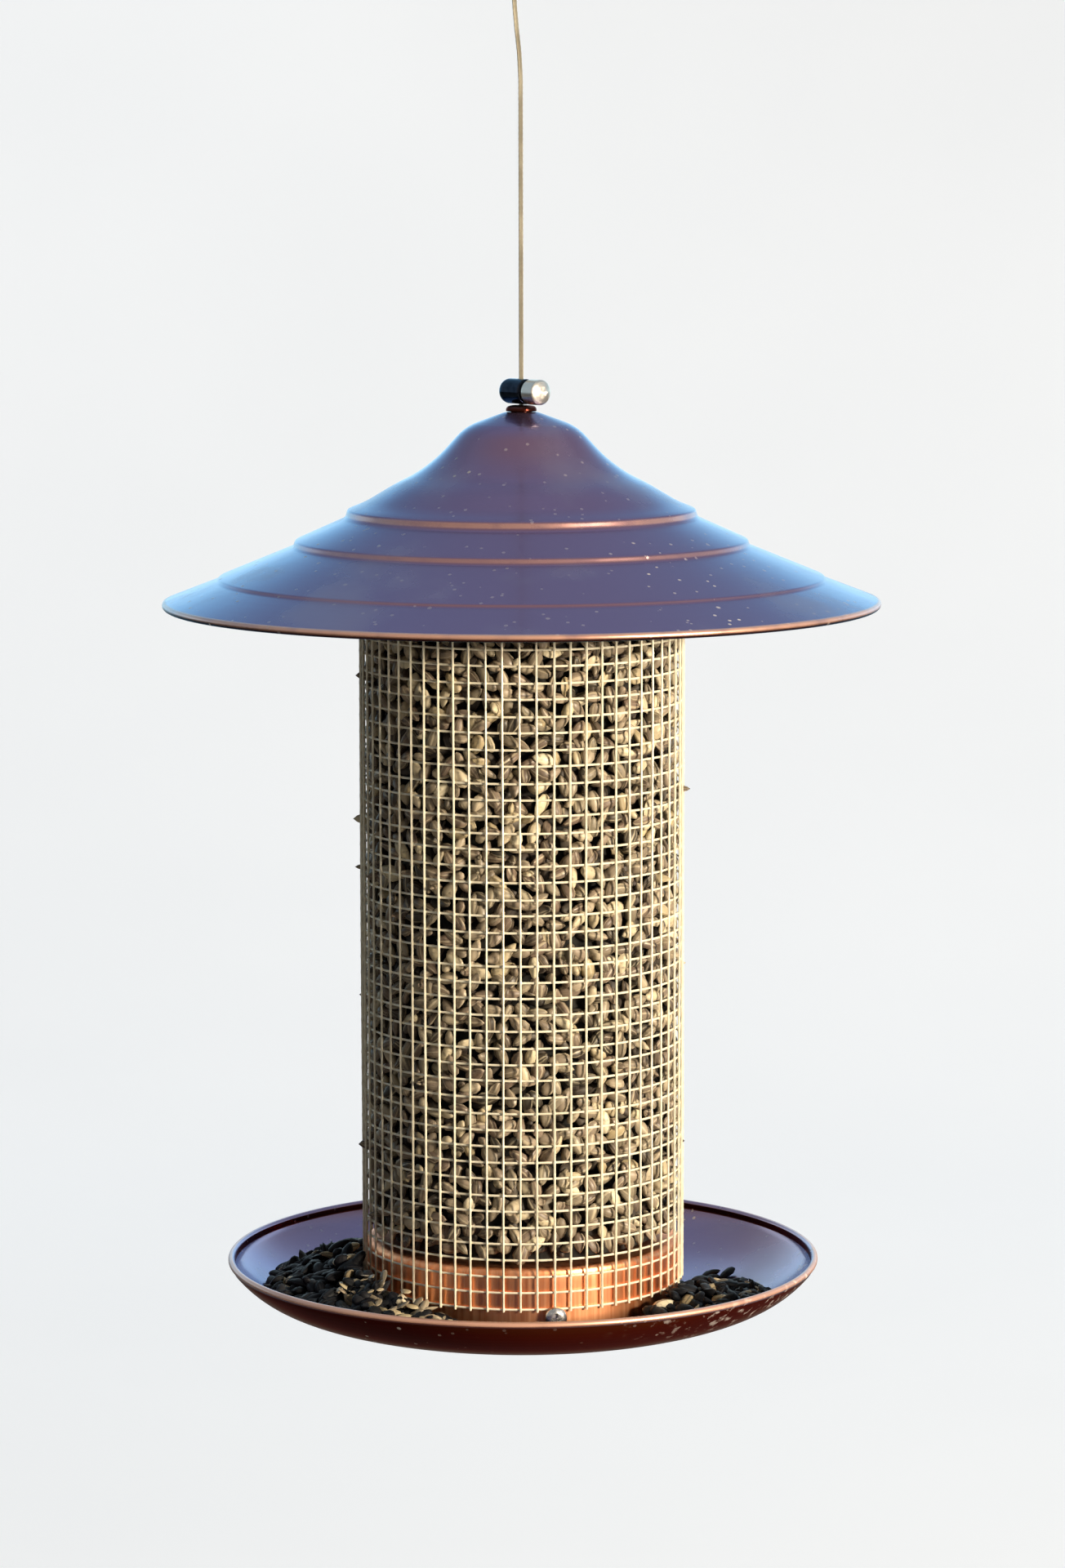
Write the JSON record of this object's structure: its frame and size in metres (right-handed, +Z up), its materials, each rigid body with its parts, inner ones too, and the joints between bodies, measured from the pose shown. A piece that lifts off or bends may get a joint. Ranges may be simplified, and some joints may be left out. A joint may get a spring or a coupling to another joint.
{
  "type": "hanging seed feeder",
  "caption": "Hanging mesh seed feeder: wire-cloth tube under a spun sliding roof, base cap and round seed tray, hung from a steel cable with a cord lock.",
  "frame": {"origin": "inside top of the cable's loop, the point that bears on a hook", "axes": "+Z up along the cable, which is the axis of roof, tube and tray; -Y towards the front, +X to the right seen from the front"},
  "size_m": [0.2774, 0.2774, 0.5831],
  "materials": {
    "steel_cable": "thin stranded steel cable, bare and slightly weathered",
    "aluminium_sleeve": "crimped aluminium sleeve",
    "bright_steel": "bright plated steel, glossy",
    "polished_dark_steel": "dark nickel plated steel, mirror gloss",
    "copper_bronze_coat": "spun steel with a glossy metallic copper-bronze powder coat, dusty and water-spotted",
    "copper_plate": "bright metallic copper coat, satin",
    "galvanised_wire": "welded galvanised wire, dull bright",
    "sunflower_seed": "black-oil sunflower seed, some husks pale"
  },
  "bodies": {
    "root": {"hang_cable": "steel_cable", "loop_sleeve": "aluminium_sleeve", "stop_sleeve": "aluminium_sleeve", "stop_washer": "bright_steel", "base_cap": "copper_plate", "base_eyelet": "bright_steel", "base_screw_1": "bright_steel", "base_screw_2": "bright_steel", "base_screw_3": "bright_steel", "base_nut_1": "bright_steel", "base_nut_2": "bright_steel", "base_nut_3": "bright_steel", "mesh_tube": "galvanised_wire", "top_ring": "copper_bronze_coat", "tray": "copper_bronze_coat", "seed_fill": "sunflower_seed", "tray_seeds_left": "sunflower_seed", "tray_seeds_right": "sunflower_seed"},
    "roof": {"roof_shell": "copper_bronze_coat", "roof_ferrule": "copper_bronze_coat", "crown_washer": "bright_steel", "crown_nut": "bright_steel"},
    "lock": {"lock_barrel": "polished_dark_steel", "lock_spring": "bright_steel"},
    "button": {"lock_button": "bright_steel"}
  },
  "joints": [
    {"name": "roof_lift", "type": "slide", "parent": "root", "child": "roof", "axis": [0, 0, 1], "range_m": [0, 0.08]},
    {"name": "lock_slide", "type": "slide", "parent": "roof", "child": "lock", "axis": [0, 0, 1], "range_m": [0, 0.035]},
    {"name": "button_press", "type": "slide", "parent": "lock", "child": "button", "axis": [-0.6428, 0.766, 0], "range_m": [0, 0.0015], "stiffness_N_per_m": 600, "deforming": ["lock_spring"]}
  ]
}
